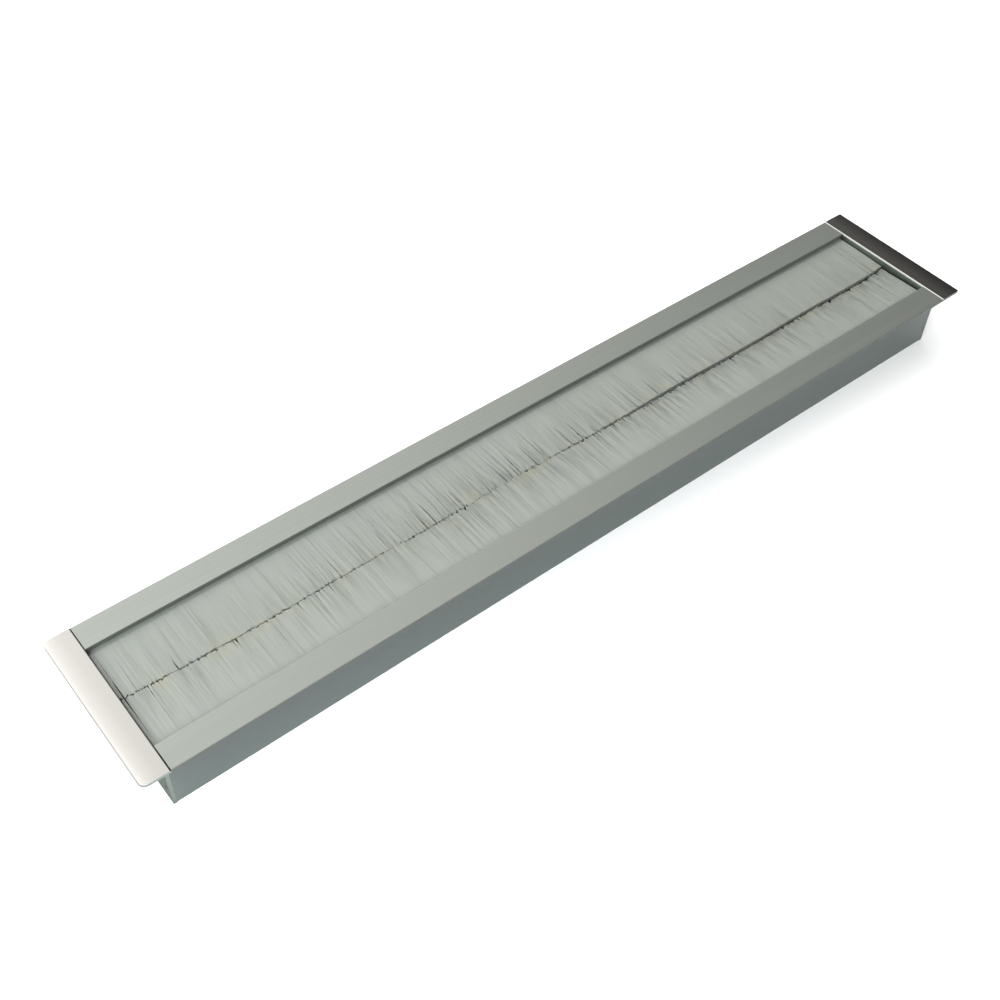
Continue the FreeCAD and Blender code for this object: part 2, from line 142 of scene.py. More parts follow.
def anodised_aluminium(finish):
    """Extruded aluminium, satin anodised: soft reflections, drawn out along the rail.

    The die leaves lines some hundredths of a millimetre apart. They are drawn 0.7 mm
    apart here, because finer ones would not show. The tops and inner lips of the
    flanges keep the plain aluminium colour. The walls are painted darker as shade, and
    darkest under the flange, where the colour is a painted shadow.
    """
    material, tree, shader = new_finish(
        "satin_anodised_aluminium", finish.aluminium, metallic=1.0,
        roughness=finish.aluminium_roughness)
    lines = streaks(tree, along=260 * MM, across=0.7 * MM, upwards=0.7 * MM, detail=2.0)
    unevenness = 0.04
    rough = add_node(tree, "ShaderNodeMapRange", {
        "Value": lines.outputs["Fac"], "From Min": NOISE_LOW, "From Max": NOISE_HIGH,
        "To Min": finish.aluminium_roughness - unevenness,
        "To Max": finish.aluminium_roughness + unevenness})

    axes = place_on_piece(tree)
    off_middle = add_node(tree, "ShaderNodeMath", {0: axes.outputs["Y"]},
                          operation="ABSOLUTE")
    top = upward_share(tree, low=0.3, high=0.7)
    # The inner lips of the flanges end 27 mm from the middle, the walls start at 33 mm.
    lip = add_node(tree, "ShaderNodeMapRange", {
        "Value": off_middle.outputs["Value"], "From Min": 30 * MM, "From Max": 29 * MM})
    flange_faces = add_node(tree, "ShaderNodeMath", {
        0: top.outputs["Result"], 1: lip.outputs["Result"]}, operation="MAXIMUM")

    # Painted shade: the upright faces are darker than the flange tops, and darker still towards
    # the top, where a painted shadow stands in for the shade under the flange.
    height = add_node(tree, "ShaderNodeMapRange", {
        "Value": axes.outputs["Z"], "From Min": 0.0, "From Max": DEPTH})
    wall_shade = add_node(tree, "ShaderNodeMix", {
        "Factor": height.outputs["Result"], "A": (*finish.wall_painted_shade, 1),
        "B": (*finish.flange_painted_shadow, 1)}, data_type="RGBA")
    # The flange tops and inner lips take the plain colour, every other face the painted shade.
    colour = add_node(tree, "ShaderNodeMix", {
        "Factor": flange_faces.outputs["Value"], "A": wall_shade.outputs["Result"],
        "B": (*finish.aluminium, 1)}, data_type="RGBA")
    blur = add_node(tree, "ShaderNodeMix", {
        "Factor": flange_faces.outputs["Value"], "A": finish.wall_roughness,
        "B": rough.outputs["Result"]})
    relief = add_node(tree, "ShaderNodeBump", {
        "Height": lines.outputs["Fac"], "Distance": 0.01 * MM, "Strength": 0.25})
    tree.links.new(colour.outputs["Result"], shader.inputs["Base Color"])
    tree.links.new(blur.outputs["Result"], shader.inputs["Roughness"])
    tree.links.new(relief.outputs["Normal"], shader.inputs["Normal"])
    return material


def polished_steel(finish):
    """Stainless sheet: the plate is polished, its cut edges and the leg stay dull.

    Polished parts give clear reflections, a little wavy from the rolls. The polish ends
    in the fold, and has worn down the plate a little towards its outer edge. A narrow
    grey line is coloured along that edge. The leg is rougher and painted darker, as shade
    under the plate. The tint of the glancing reflections is low, because the leg would
    mirror the pale floor as plain white without it.
    """
    material, tree, shader = new_finish(
        "polished_stainless_steel", finish.steel, metallic=1.0,
        roughness=finish.steel_roughness)
    shader.inputs["Specular Tint"].default_value = (*linear("6C6C6E"), 1)

    axes = place_on_piece(tree)
    outward = add_node(tree, "ShaderNodeMath", {0: axes.outputs["X"]}, operation="ABSOLUTE")
    polish = upward_share(tree, low=0.75, high=0.9)
    # Partly an unpolished finish, partly painted shade: faces that don't look up, the legs
    # above all, take the darker mill colour.
    sheet = add_node(tree, "ShaderNodeMix", {
        "Factor": polish.outputs["Result"], "A": (*finish.mill_finish_and_shade, 1),
        "B": (*finish.steel, 1)}, data_type="RGBA")
    # A narrow grey line is coloured along the outer half millimetre of each cap.
    rim = add_node(tree, "ShaderNodeMapRange", {
        "Value": outward.outputs["Value"], "From Min": HALF_LENGTH - 0.5 * MM,
        "From Max": HALF_LENGTH - 0.3 * MM})
    colour = add_node(tree, "ShaderNodeMix", {
        "Factor": rim.outputs["Result"], "A": sheet.outputs["Result"],
        "B": (*finish.grey_rim, 1)}, data_type="RGBA")
    rough = add_node(tree, "ShaderNodeMapRange", {
        "Value": polish.outputs["Result"], "To Min": finish.mill_roughness,
        "To Max": finish.steel_roughness})

    rolled = streaks(tree, along=30 * MM, across=22 * MM, upwards=22 * MM, detail=1.0)
    waves = add_node(tree, "ShaderNodeBump", {
        "Height": rolled.outputs["Fac"], "Distance": 0.04 * MM, "Strength": 0.15})
    reach = add_node(tree, "ShaderNodeMapRange", {
        "Value": outward.outputs["Value"], "From Min": finish.crown_start,
        "From Max": HALF_LENGTH})
    crown = add_node(tree, "ShaderNodeMath", {0: reach.outputs["Result"], 1: 2.0},
                     operation="POWER")
    fall = add_node(tree, "ShaderNodeBump", {
        "Height": crown.outputs["Value"], "Distance": finish.crown, "Strength": 1.0,
        "Normal": waves.outputs["Normal"]}, invert=True)
    tree.links.new(colour.outputs["Result"], shader.inputs["Base Color"])
    tree.links.new(rough.outputs["Result"], shader.inputs["Roughness"])
    tree.links.new(fall.outputs["Normal"], shader.inputs["Normal"])
    return material


def galvanised_steel(finish):
    """Galvanised strip and wire: dull grey with faint cloudy patches of 3 mm."""
    material, tree, shader = new_finish(
        "galvanised_steel", finish.galvanised, metallic=1.0, roughness=0.5)
    patches = streaks(tree, along=3 * MM, across=3 * MM, upwards=3 * MM, detail=3.0)
    rough = add_node(tree, "ShaderNodeMapRange", {
        "Value": patches.outputs["Fac"], "From Min": NOISE_LOW, "From Max": NOISE_HIGH,
        "To Min": 0.42, "To Max": 0.6})
    tree.links.new(rough.outputs["Result"], shader.inputs["Roughness"])
    return material


def zinc_plated_steel(finish):
    """Zinc plated screws: soft grey shine with a fine grain of half a millimetre.

    The tint of the glancing reflections is low, so that the heads stay darker than the
    leg that they sit in.
    """
    material, tree, shader = new_finish(
        "zinc_plated_steel", finish.zinc, metallic=1.0, roughness=0.42)
    shader.inputs["Specular Tint"].default_value = (*linear("7C7C7C"), 1)
    grain = streaks(tree, along=0.5 * MM, across=0.5 * MM, upwards=0.5 * MM, detail=2.0)
    rough = add_node(tree, "ShaderNodeMapRange", {
        "Value": grain.outputs["Fac"], "From Min": NOISE_LOW, "From Max": NOISE_HIGH,
        "To Min": 0.36, "To Max": 0.5})
    tree.links.new(rough.outputs["Result"], shader.inputs["Roughness"])
    return material


def nylon_filament(row):
    """Drawn nylon: matt grey filaments that turn a little straw-coloured at the tips.

    Neighbouring filaments differ, which is drawn as faint streaks of 0.55 mm along Y.
    The streaks fade towards the roots, where the filaments lie close together. The tint
    of the tips fades out 8 mm from the seam and comes in patches.
    """
    material, tree, shader = new_finish(
        "grey_nylon_filament", row.grey, metallic=0.0, roughness=0.6)
    shader.inputs["IOR"].default_value = 1.53
    # Filaments side by side shade one another, so the row shines half as much as sheet.
    shader.inputs["Specular IOR Level"].default_value = 0.25
    shader.inputs["Sheen Weight"].default_value = 0.1

    axes = place_on_piece(tree)
    off_seam = add_node(tree, "ShaderNodeMath", {
        0: axes.outputs["Y"], 1: row.seam_offset}, operation="ADD")
    distance = add_node(tree, "ShaderNodeMath", {0: off_seam.outputs["Value"]},
                        operation="ABSOLUTE")

    strands = streaks(tree, along=0.55 * MM, across=18 * MM, upwards=3 * MM, detail=3.0)
    shade = add_node(tree, "ShaderNodeMapRange", {
        "Value": strands.outputs["Fac"], "From Min": NOISE_LOW, "From Max": NOISE_HIGH})
    loose = add_node(tree, "ShaderNodeMapRange", {
        "Value": distance.outputs["Value"], "From Min": 3 * MM, "From Max": 18 * MM,
        "To Min": 1.0, "To Max": 0.25})
    streak = add_node(tree, "ShaderNodeMix", {
        "Factor": loose.outputs["Result"], "A": 0.5, "B": shade.outputs["Result"]})
    greys = add_node(tree, "ShaderNodeMix", {
        "Factor": streak.outputs["Result"], "A": (*row.grey_dark, 1),
        "B": (*row.grey, 1)}, data_type="RGBA")

    nearness = add_node(tree, "ShaderNodeMapRange", {
        "Value": distance.outputs["Value"], "From Min": 0.5 * MM, "From Max": 8 * MM,
        "To Min": 0.45, "To Max": 0.0})
    patches = streaks(tree, along=14 * MM, across=9 * MM, upwards=9 * MM, detail=2.0)
    cloud = add_node(tree, "ShaderNodeMapRange", {
        "Value": patches.outputs["Fac"], "From Min": NOISE_LOW, "From Max": NOISE_HIGH,
        "To Min": -0.5, "To Max": 1.0})
    tint = add_node(tree, "ShaderNodeMath", {
        0: nearness.outputs["Result"], 1: cloud.outputs["Result"]},
        operation="MULTIPLY", use_clamp=True)
    tips = add_node(tree, "ShaderNodeMix", {
        "Factor": tint.outputs["Value"], "A": greys.outputs["Result"],
        "B": (*row.straw, 1)}, data_type="RGBA")
    tree.links.new(tips.outputs["Result"], shader.inputs["Base Color"])
    return material


def painted_board(studio):
    """Table of matt painted board: plain, pale and without gloss."""
    material, _, _ = new_finish(
        "matt_painted_board", studio.floor, metallic=0.0, roughness=0.9)
    return material


def dress(node, material):
    """Give a CAD node its finish."""
    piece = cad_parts[node]
    piece.data.materials.clear()
    piece.data.materials.append(material)


def piece_from(name, points, faces, material, node):
    """New mesh piece that stands for a CAD node."""
    mesh = bpy.data.meshes.new(name)
    mesh.from_pydata(points, [], faces)
    mesh.materials.append(material)
    piece = bpy.data.objects.new(name, mesh)
    bpy.context.scene.collection.objects.link(piece)
    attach(piece, BODY)
    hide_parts(node)
    return piece


class GrommetFinish(bpy.types.PropertyGroup):
    """Colours and blurs of the metal pieces."""
    aluminium: FloatVectorProperty(
        name="Aluminium", description="Reflection colour of the rails", subtype="COLOR",
        default=linear("969B96"), min=0, max=1)
    aluminium_roughness: FloatProperty(
        name="Aluminium roughness", description="Blur of the satin finish",
        subtype="FACTOR", default=0.5, min=0.1, max=0.8)
    # Painted shade on the upright faces of the rails.
    wall_painted_shade: FloatVectorProperty(
        name="Painted wall shade", description="Upright faces of the rails", subtype="COLOR",
        default=linear("6D7573"), min=0, max=1)
    # Painted shadow on the upright faces under the flange.
    flange_painted_shadow: FloatVectorProperty(
        name="Painted shadow under flange", description="Upright faces of the rails near the flange",
        subtype="COLOR", default=linear("4F5554"), min=0, max=1)
    wall_roughness: FloatProperty(
        name="Wall roughness", description="Blur of the upright faces of the rails",
        subtype="FACTOR", default=0.35, min=0.1, max=0.8)
    steel: FloatVectorProperty(
        name="Steel", description="Reflection colour of the end caps", subtype="COLOR",
        default=linear("C1C0BC"), min=0, max=1)
    steel_roughness: FloatProperty(
        name="Steel roughness", description="Blur of the polished end caps",
        subtype="FACTOR", default=0.14, min=0.02, max=0.6)
    # Partly a real unpolished finish, partly painted shade on the legs under the plate.
    mill_finish_and_shade: FloatVectorProperty(
        name="Mill finish and shade", description="Legs of the end caps, left unpolished",
        subtype="COLOR", default=linear("848C87"), min=0, max=1)
    mill_roughness: FloatProperty(
        name="Mill roughness", description="Blur of the unpolished legs",
        subtype="FACTOR", default=0.45, min=0.1, max=0.8)
    # Colour of the narrow grey line along the outer edges of the caps.
    grey_rim: FloatVectorProperty(
        name="Grey rim", description="Grey line along the outer edges of the end caps",
        subtype="COLOR", default=linear("9C9E9D"), min=0, max=1)
    crown_start: FloatProperty(
        name="Crown start", description="Place along X where a cap starts to fall",
        unit="LENGTH", default=224 * MM, min=200 * MM, max=232 * MM)
    crown: FloatProperty(
        name="Crown", description="How far polishing wore down a cap's outer edge",
        unit="LENGTH", default=0.4 * MM, min=0, max=1 * MM)
    galvanised: FloatVectorProperty(
        name="Galvanised", description="Brush channels and core wires", subtype="COLOR",
        default=linear("9DA09F"), min=0, max=1)
    zinc: FloatVectorProperty(
        name="Zinc", description="End cap screws", subtype="COLOR",
        default=linear("8B8C8A"), min=0, max=1)


class GrommetRow(bpy.types.PropertyGroup):
    """Sizes and colours of the two rows of bristles."""
    grey: FloatVectorProperty(
        name="Light filaments", description="Colour of most filaments", subtype="COLOR",
        default=linear("7A7E79"), min=0, max=1)
    grey_dark: FloatVectorProperty(
        name="Dark filaments", description="Colour of the darker filaments",
        subtype="COLOR", default=linear("6D716C"), min=0, max=1)
    straw: FloatVectorProperty(
        name="Tip tint", description="Colour that the tips turn to", subtype="COLOR",
        default=linear("817E6B"), min=0, max=1)
    filament: FloatProperty(
        name="Filament", description="Diameter of one filament", unit="LENGTH",
        default=0.28 * MM, min=0.05 * MM, max=1 * MM, precision=5)
    upper_count: IntProperty(
        name="Upper filaments", description="Filaments in the upper half of a row",
        default=7600, min=100, max=7900)
    lower_count: IntProperty(
        name="Lower filaments", description="Filaments in the lower half of a row",
        default=5200, min=100, max=9000)
    tuft: FloatProperty(
        name="Tuft", description="Mean width of the tufts that the tips gather into",
        unit="LENGTH", default=1.35 * MM, min=0.3 * MM, max=20 * MM)
    tooth: FloatProperty(
        name="Tooth", description="Mean width of the notches along the tips",
        unit="LENGTH", default=0.55 * MM, min=0.2 * MM, max=5 * MM)
    splits: IntProperty(
        name="Splits", description="Places where a row may part", default=230,
        min=0, max=400)
    stray_share: FloatProperty(
        name="Strays", description="Share of filaments that stand out of the row",
        subtype="FACTOR", default=0.16, min=0, max=1)
    raggedness: FloatProperty(
        name="Raggedness", description="How far the tips of a row differ", unit="LENGTH",
        default=0.9 * MM, min=0, max=4 * MM)
    droop_front: FloatProperty(
        name="Droop, front", description="How far the front tips hang below the roots",
        unit="LENGTH", default=1.3 * MM, min=0, max=4 * MM)
    droop_back: FloatProperty(
        name="Droop, back", description="How far the back tips hang below the roots",
        unit="LENGTH", default=0.5 * MM, min=0, max=4 * MM)
    seam_offset: FloatProperty(
        name="Seam offset", description="Seam in front of the centre line",
        unit="LENGTH", default=1.6 * MM, min=-5 * MM, max=5 * MM)
    seam_drift: FloatProperty(
        name="Seam drift", description="How far the seam moves forward at the right end",
        unit="LENGTH", default=0.6 * MM, min=0, max=5 * MM)
    seam_wave: FloatProperty(
        name="Seam wave", description="Height of the wave in the seam", unit="LENGTH",
        default=0.3 * MM, min=0, max=3 * MM)
    seam_wave_length: FloatProperty(
        name="Seam wave length", description="Length of the wave in the seam",
        unit="LENGTH", default=92 * MM, min=10 * MM, max=500 * MM)
    seam_end_rise: FloatProperty(
        name="Seam end rise", description="How far the seam turns back at the caps",
        unit="LENGTH", default=2.6 * MM, min=0, max=8 * MM)


class GrommetStudio(bpy.types.PropertyGroup):
    """Camera, lights and floor."""
    azimuth: FloatProperty(
        name="Azimuth", description="Camera's turn about Z", subtype="ANGLE",
        default=math.radians(-40.464))
    elevation: FloatProperty(
        name="Elevation", description="Camera's height above the horizon",
        subtype="ANGLE", default=math.radians(48.413))
    roll: FloatProperty(
        name="Roll", description="Camera's tilt about its line of sight",
        subtype="ANGLE", default=math.radians(2.4))
    distance: FloatProperty(
        name="Distance", description="Camera to the point that it looks at",
        unit="LENGTH", default=570.26 * MM)
    lens: FloatProperty(
        name="Lens", description="Focal length in millimetres", unit="CAMERA",
        default=47.605)
    front_power: FloatProperty(
        name="Front box", description="Power of the soft box at the front left",
        unit="POWER", default=11, min=0)
    back_power: FloatProperty(
        name="Back box", description="Power of the small box at the back", unit="POWER",
        default=5.2, min=0)
    floor: FloatVectorProperty(
        name="Floor", description="Colour of the floor", subtype="COLOR",
        default=linear("FAFAF9"), min=0, max=1)


def seam_line(row, along):
    """Y of the seam where the two rows meet, for places along X."""
    share = along / HALF_LENGTH
    wave = np.sin(2 * math.pi * along / row.seam_wave_length)
    # The high power keeps the turn close to the caps.
    end_power = 14
    end_turn = row.seam_end_rise * share ** end_power
    return end_turn - row.seam_offset - row.seam_drift * share - row.seam_wave * wave


def smooth_step(low, high, value):
    """Share from 0 to 1 that eases in and out between two values."""
    share = np.clip((value - low) / (high - low), 0, 1)
    return share * share * (3 - 2 * share)


def bell(centre, width, value):
    """Share that is 1 at a centre and fades out on both sides."""
    return np.exp(-((value - centre) / width) ** 2)


def half_gap(along):
    """Half of the slit between the rows: open at the right, overlapped left of middle."""
    overlap = -0.13 * MM
    opens = 0.3 * MM * smooth_step(-10 * MM, 90 * MM, along)
    closes = 0.5 * MM * bell(-36 * MM, 12 * MM, along)
    closes += 0.35 * MM * bell(-94 * MM, 6 * MM, along)
    return overlap + opens - closes


def uneven_edges(dice, start, end, width):
    """Places along X where one tuft or notch ends and the next one starts."""
    narrowest, widest = 0.45, 1.6
    edges = [start]
    while edges[-1] < end:
        edges.append(edges[-1] + width * dice.uniform(narrowest, widest))
    return np.array(edges)


def cell_of(places, edges):
    """Number of the tuft or notch that each place lies in."""
    return np.clip(np.searchsorted(edges, places) - 1, 0, len(edges) - 2)


def row_splits(dice, side, start, end, count):
    """Places where a row has parted, with half their width at the tips and their depth.

    A depth is a share of the filaments' length. The back row has parted most left of the
    middle, and the front row has shorter splits, most of them at the right. At the left
    end the last tuft of each row stands off by itself.
    """
    splits = []
    for place in dice.uniform(start, end, count):
        likely = 0.05 + 0.9 * bell(-32 * MM, 60 * MM, place)
        depth = dice.uniform(0.15, 0.6)
        width = dice.uniform(0.25, 0.78) ** 2 * MM
        if side > 0:
            likely = 0.1 + 0.6 * bell(90 * MM, 90 * MM, place)
            depth = dice.uniform(0.08, 0.25)
        if dice.random() < likely:
            splits.append((place, width, depth))
    last_tuft = (start + 1.4 * MM, 0.3 * MM, 0.75)
    splits.append(last_tuft)
    return splits


def part_filaments(x, share, splits, radius):
    """Push the filaments of a split to its two edges, which meet near the roots."""
    for place, width, depth in splits:
        opened = np.clip((share - 1 + depth) / depth, 0, 1)
        opening = width * opened + radius * min(1, 4 * opened)
        away = x - place
        x = np.where(np.abs(away) < opening, place + np.sign(away) * opening, x)
    return x


def row_place(side, node, channel, wire):
    """Box of a row, Y of its channel's open side, and Y and Z of its core wire."""
    low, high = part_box(node)
    channel_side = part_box(channel)[1 if side > 0 else 0].y
    wire_low, wire_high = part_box(wire)
    wire_y = (wire_low.y + wire_high.y) / 2
    wire_z = (wire_low.z + wire_high.z) / 2
    return low, high, channel_side, wire_y, wire_z


def lay_filaments(row, side, layer, count, place):
    """Centre lines, one row of points for each filament, from its root to its tip.

    layer is 1 for the upper half of a row and -1 for the lower half. Each half has four
    even sheets of filaments, one on top of the other. Both halves draw their tufts,
    notches and splits from the same dice, so that these go through the row.
    """
    low, high, channel_side, _, wire_z = place
    radius = row.filament / 2
    start, end = low.x + radius, high.x - radius

    shared = np.random.default_rng(ROW_SEED + side)
    edges = uneven_edges(shared, start, end, row.tuft)
    lengths = shared.random(len(edges))
    tightness = shared.uniform(0.4, 1.2, len(edges))
    teeth = uneven_edges(shared, start, end, row.tooth)
    notches = shared.random(len(teeth))
    splits = row_splits(shared, side, start, end, row.splits)

    # Each sheet is shifted along by a share of the pitch, and the filaments scatter a little.
    dice = np.random.default_rng(FILAMENT_SEED + side + 10 * layer)
    sheets = 4
    stagger = 0.25
    scatter = 0.12
    sheet = np.arange(count) % sheets
    pitch = (end - start) * sheets / count
    root_x = start + (np.arange(count) // sheets + 0.5 + stagger * sheet) * pitch
    root_x = root_x + dice.normal(0, scatter, count) * pitch
    lean = dice.normal(0, 0.04 * MM, count)
    tuft = cell_of(root_x, edges)
    tooth = cell_of(root_x, teeth)
    centre = (edges[tuft] + edges[tuft + 1]) / 2

    # The front row is loose and ragged at the right, where the back row is cut straight.
    right = smooth_step(0, 70 * MM, root_x)
    loose = 0.14 + 0.12 * bell(-40 * MM, 80 * MM, root_x)
    if side > 0:
        loose += 0.6 * right
        sag = row.droop_front * (0.35 + 0.65 * right)
        ragged = row.raggedness * (1.0 + 2.2 * right)
    else:
        sag = row.droop_back * (1 - 0.5 * right)
        ragged = row.raggedness * (1.0 - 0.6 * right)
    loose *= tightness[tuft]

    spread = 1.05
    root_depth = 1.2 * MM
    root_z = layer * (HALF_ROW - radius) * (1 - sheet / sheets)
    tip_z = root_z * spread - sag + dice.normal(0, 0.03 * MM, count)
    short = ragged * (0.35 * lengths[tuft] * (1 - 0.5 * right)
                      + notches[tooth] ** (2 + 2 * right) + 0.15 * dice.random(count))
    tip_y = seam_line(row, root_x) - side * (half_gap(root_x) + short)
    root_y = np.full(count, channel_side - side * root_depth)
    sway = dice.normal(0, 0.03 * MM, (2, count))

    # Strays of the topmost sheet stand a little out of the row and lean aside.
    raised = np.zeros(count)
    thick = np.ones(count)
    if layer > 0:
        busy = 0.15 + 1.4 * bell(-35 * MM, 70 * MM, root_x)
        if side > 0:
            busy += 0.5 * right
        stray = (dice.random(count) < row.stray_share * busy) & (sheet == 0)
        strays = stray.sum()
        raised[stray] = dice.uniform(0.05 * MM, 0.35 * MM, strays)
        lean[stray] = dice.normal(0, 0.7 * MM, strays)
        thick[stray] = dice.uniform(1.0, 1.4, strays)
        reach = dice.uniform(-1.0 * MM, 1.6 * MM, strays)
        tip_y[stray] += side * reach * (1 - 0.8 * smooth_step(0, 60 * MM, root_x[stray]))

    # The places along a filament lie closer together at the tip, where it bends most.
    lines = []
    for share in (0.0, 0.5, 0.76, 0.89, 1.0):
        gather = smooth_step(0.8, 1.0, np.array(share))
        lift = smooth_step(0.5, 0.95, np.array(share))
        bend = math.sin(math.pi * share)
        x = root_x + lean * share ** 2 + (centre - root_x) * loose * gather
        x = part_filaments(x + bend * sway[0], share, splits, radius)
        lines.append(np.stack([
            np.clip(x, start, end),
            root_y + (tip_y - root_y) * share,
            wire_z + root_z + (tip_z - root_z) * share ** 1.6
            + bend * sway[1] * 0.5 + raised * lift], axis=1))
    return np.stack(lines, axis=1), radius * thick


def filament_mesh(lines, radii):
    """Three-sided tapering filaments along centre lines.

    Real filaments are about 0.15 mm thick. Each one drawn stands for a few of them side
    by side, so it has a flat top, and together the tops read as one even sheet.
    """
    count, stations, _ = lines.shape
    sides = 3
    flatness = 0.6
    tip_width = 0.93
    turns = 2 * math.pi * (np.arange(sides) + 0.25) / sides
    around = np.stack([np.cos(turns), np.zeros(sides), flatness * np.sin(turns)], axis=1)
    widths = radii[:, None] * np.linspace(1.0, tip_width, stations)[None, :]
    points = lines[:, :, None, :] + widths[:, :, None, None] * around[None, None, :, :]

    ring = np.arange(sides)
    following = (ring + 1) % sides
    quads = np.concatenate([
        station * sides + np.stack([ring, following, sides + following, sides + ring], axis=1)
        for station in range(stations - 1)])
    firsts = np.arange(count) * stations * sides
    quads = (firsts[:, None, None] + quads[None]).reshape(-1, 4)
    tips = firsts[:, None] + (stations - 1) * sides + ring[None]
    faces = [tuple(face) for face in quads] + [tuple(face) for face in tips]
    return points.reshape(-1, 3), faces


def core_mesh(side, place):
    """Closed bar inside a row: folded round the wire and ending short of the seam."""
    low, high, channel_side, wire_y, wire_z = place
    nip = 0.5 * MM
    nip_depth = 0.8 * MM
    length = 12 * MM
    thin = nip * 0.4
    sag = 0.2 * MM
    arc_points = 9
    columns_in_all = 60
    mouth = channel_side - side * nip_depth
    reach = mouth + side * length
    turns = np.linspace(-math.pi / 2, math.pi / 2, arc_points)
    section = [(wire_y - side * HALF_ROW * math.cos(turn),
                wire_z + HALF_ROW * math.sin(turn)) for turn in turns]
    section += [(mouth, wire_z + nip), (reach, wire_z + thin - sag),
                (reach, wire_z - thin - sag), (mouth, wire_z - nip)]
    columns = np.linspace(low.x, high.x, columns_in_all)
    points = [(x, y, z) for x in columns for y, z in section]
    size = len(section)
    last = (len(columns) - 1) * size
    faces = []
    for base in range(0, last, size):
        for corner in range(size):
            after = (corner + 1) % size
            faces.append((base + corner, base + after, base + size + after,
                          base + size + corner))
    faces.append(tuple(range(size)))
    faces.append(tuple(last + corner for corner in reversed(range(size))))
    return points, faces


class GROMMET_OT_rails(bpy.types.Operator):
    """Finish the two extruded rails"""
    bl_idname = "grommet.rails"
    bl_label = "Rails"

    def execute(self, context):
        material = anodised_aluminium(context.scene.grommet_finish)
        for name in ROWS:
            dress("rail_" + name, material)
        return {"FINISHED"}


class GROMMET_OT_end_caps(bpy.types.Operator):
    """Finish the two folded end caps"""
    bl_idname = "grommet.end_caps"
    bl_label = "End caps"

    def execute(self, context):
        material = polished_steel(context.scene.grommet_finish)
        for name in ("left", "right"):
            dress("end_cap_" + name, material)
        return {"FINISHED"}


class GROMMET_OT_strip_holders(bpy.types.Operator):
    """Finish the brush channels and the core wires"""
    bl_idname = "grommet.strip_holders"
    bl_label = "Brush channels and core wires"

    def execute(self, context):
        material = galvanised_steel(context.scene.grommet_finish)
        for name in ROWS:
            dress("brush_channel_" + name, material)
            dress("core_wire_" + name, material)
        return {"FINISHED"}


class GROMMET_OT_screws(bpy.types.Operator):
    """Finish the four end cap screws"""
    bl_idname = "grommet.screws"
    bl_label = "Screws"

    def execute(self, context):
        dress("end_cap_screws", zinc_plated_steel(context.scene.grommet_finish))
        return {"FINISHED"}


class GROMMET_OT_bristles(bpy.types.Operator):
    """Lay the filaments of both rows"""
    bl_idname = "grommet.bristles"
    bl_label = "Bristles"

    def execute(self, context):
        row = context.scene.grommet_row
        material = nylon_filament(row)
        layers = {"upper": (1, row.upper_count), "lower": (-1, row.lower_count)}
        for name, side in ROWS.items():
            node = "bristles_" + name
            place = row_place(side, node, "brush_channel_" + name, "core_wire_" + name)
            for half, (layer, count) in layers.items():
                lines, radii = lay_filaments(row, side, layer, count, place)
                points, faces = filament_mesh(lines, radii)
                piece_from(half + "_filaments_" + name, points, faces, material, node)
            points, faces = core_mesh(side, place)
            fold = piece_from("fold_" + name, points, faces, material, node)
            fold.data.shade_smooth()
        return {"FINISHED"}


def add_soft_box(name, place, aim, size, power, colour):
    """Square soft box that points at a place on the object.

    It lights the bristles and the floor, and the metal doesn't mirror it.
    """
    light = bpy.data.lights.new(name, "AREA")
    light.shape = "SQUARE"
    light.size = size
    light.energy = power
    light.color = colour
    lamp = bpy.data.objects.new(name, light)
    lamp.location = place
    lamp.rotation_mode = "QUATERNION"
    lamp.rotation_quaternion = (Vector(aim) - Vector(place)).to_track_quat("-Z", "Y")
    lamp.visible_camera = False
    lamp.visible_glossy = False
    bpy.context.scene.collection.objects.link(lamp)


